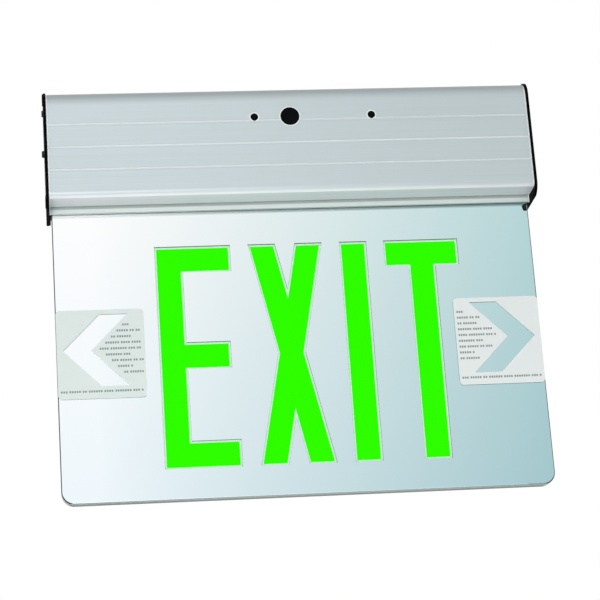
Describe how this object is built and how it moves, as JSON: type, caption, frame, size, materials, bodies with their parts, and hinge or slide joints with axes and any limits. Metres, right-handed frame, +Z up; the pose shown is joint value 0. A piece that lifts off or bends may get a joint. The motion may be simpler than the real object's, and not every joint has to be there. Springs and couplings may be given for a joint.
{
  "type": "emergency exit light",
  "caption": "Edge-lit exit sign: aluminium housing with test button, mirror panel with green letters and two chevron sheets.",
  "frame": {"origin": "centre of the wiring entry on the back plate's rear face, which is the wall plane", "axes": "+X along the sign to the viewer's right, +Y into the wall, +Z up"},
  "size_m": [0.3397, 0.0469, 0.2858],
  "materials": {
    "satin_aluminium": "satin clear-anodised",
    "white_steel": "semi-gloss powder coat",
    "black_plastic": "fine texture",
    "black_screws": "black oxide",
    "zinc_screws": "bright zinc",
    "mirror": "back-silvered acrylic",
    "clear_acrylic": "polished clear acrylic",
    "white_film": "white film",
    "green_legend": "lit translucent green",
    "pale_sheet": "satin pale grey-green",
    "white_board": "white solder mask",
    "led_lens": "clear encapsulant",
    "black_button": "smooth moulded",
    "spring_wire": "drawn wire and strip",
    "lamp_lens": "dark smoked lens",
    "green_board": "green solder mask",
    "dark_components": "moulded and sleeved",
    "battery_sleeve": "shrink sleeve",
    "core_steel": "varnished laminations",
    "coil_tape": "wrapped amber tape",
    "ivory_plastic": "moulded",
    "red_lead": "wire insulation",
    "grey_lead": "wire insulation"
  },
  "bodies": {
    "sign": {"housing": "satin_aluminium", "back_plate": "white_steel", "end_cap_left": "black_plastic", "end_cap_right": "black_plastic", "cap_screws": "black_screws", "back_plate_screws": "zinc_screws", "mirror_face": "mirror", "light_guide": "clear_acrylic", "rear_reflector": "white_film", "letter_e": "green_legend", "letter_x": "green_legend", "letter_i": "green_legend", "letter_t": "green_legend", "chevron_template_left": "pale_sheet", "chevron_template_right": "pale_sheet", "panel_channel": "satin_aluminium", "panel_screws": "zinc_screws", "led_strip_board": "white_board", "strip_leds": "led_lens", "hanger_left": "white_steel", "hanger_right": "white_steel", "hanger_screws": "zinc_screws", "test_switch": "black_plastic", "button_spring": "spring_wire", "charge_lamp": "lamp_lens", "status_lamp": "lamp_lens", "lamp_holders": "black_plastic", "control_board": "green_board", "board_components": "dark_components", "battery_pack": "battery_sleeve", "battery_clips": "spring_wire", "transformer_core": "core_steel", "transformer_coil": "coil_tape", "transformer_frame": "core_steel", "terminal_block": "ivory_plastic", "terminal_screws": "zinc_screws", "battery_lead": "red_lead", "light_lead": "grey_lead"},
    "button": {"test_button": "black_button"}
  },
  "joints": [
    {"name": "press_button", "type": "slide", "parent": "sign", "child": "button", "axis": [0, 1, 0], "range_m": [0, 0.002], "stiffness_N_per_m": 600, "springref_m": -0.0008, "deforming": ["button_spring"]}
  ]
}
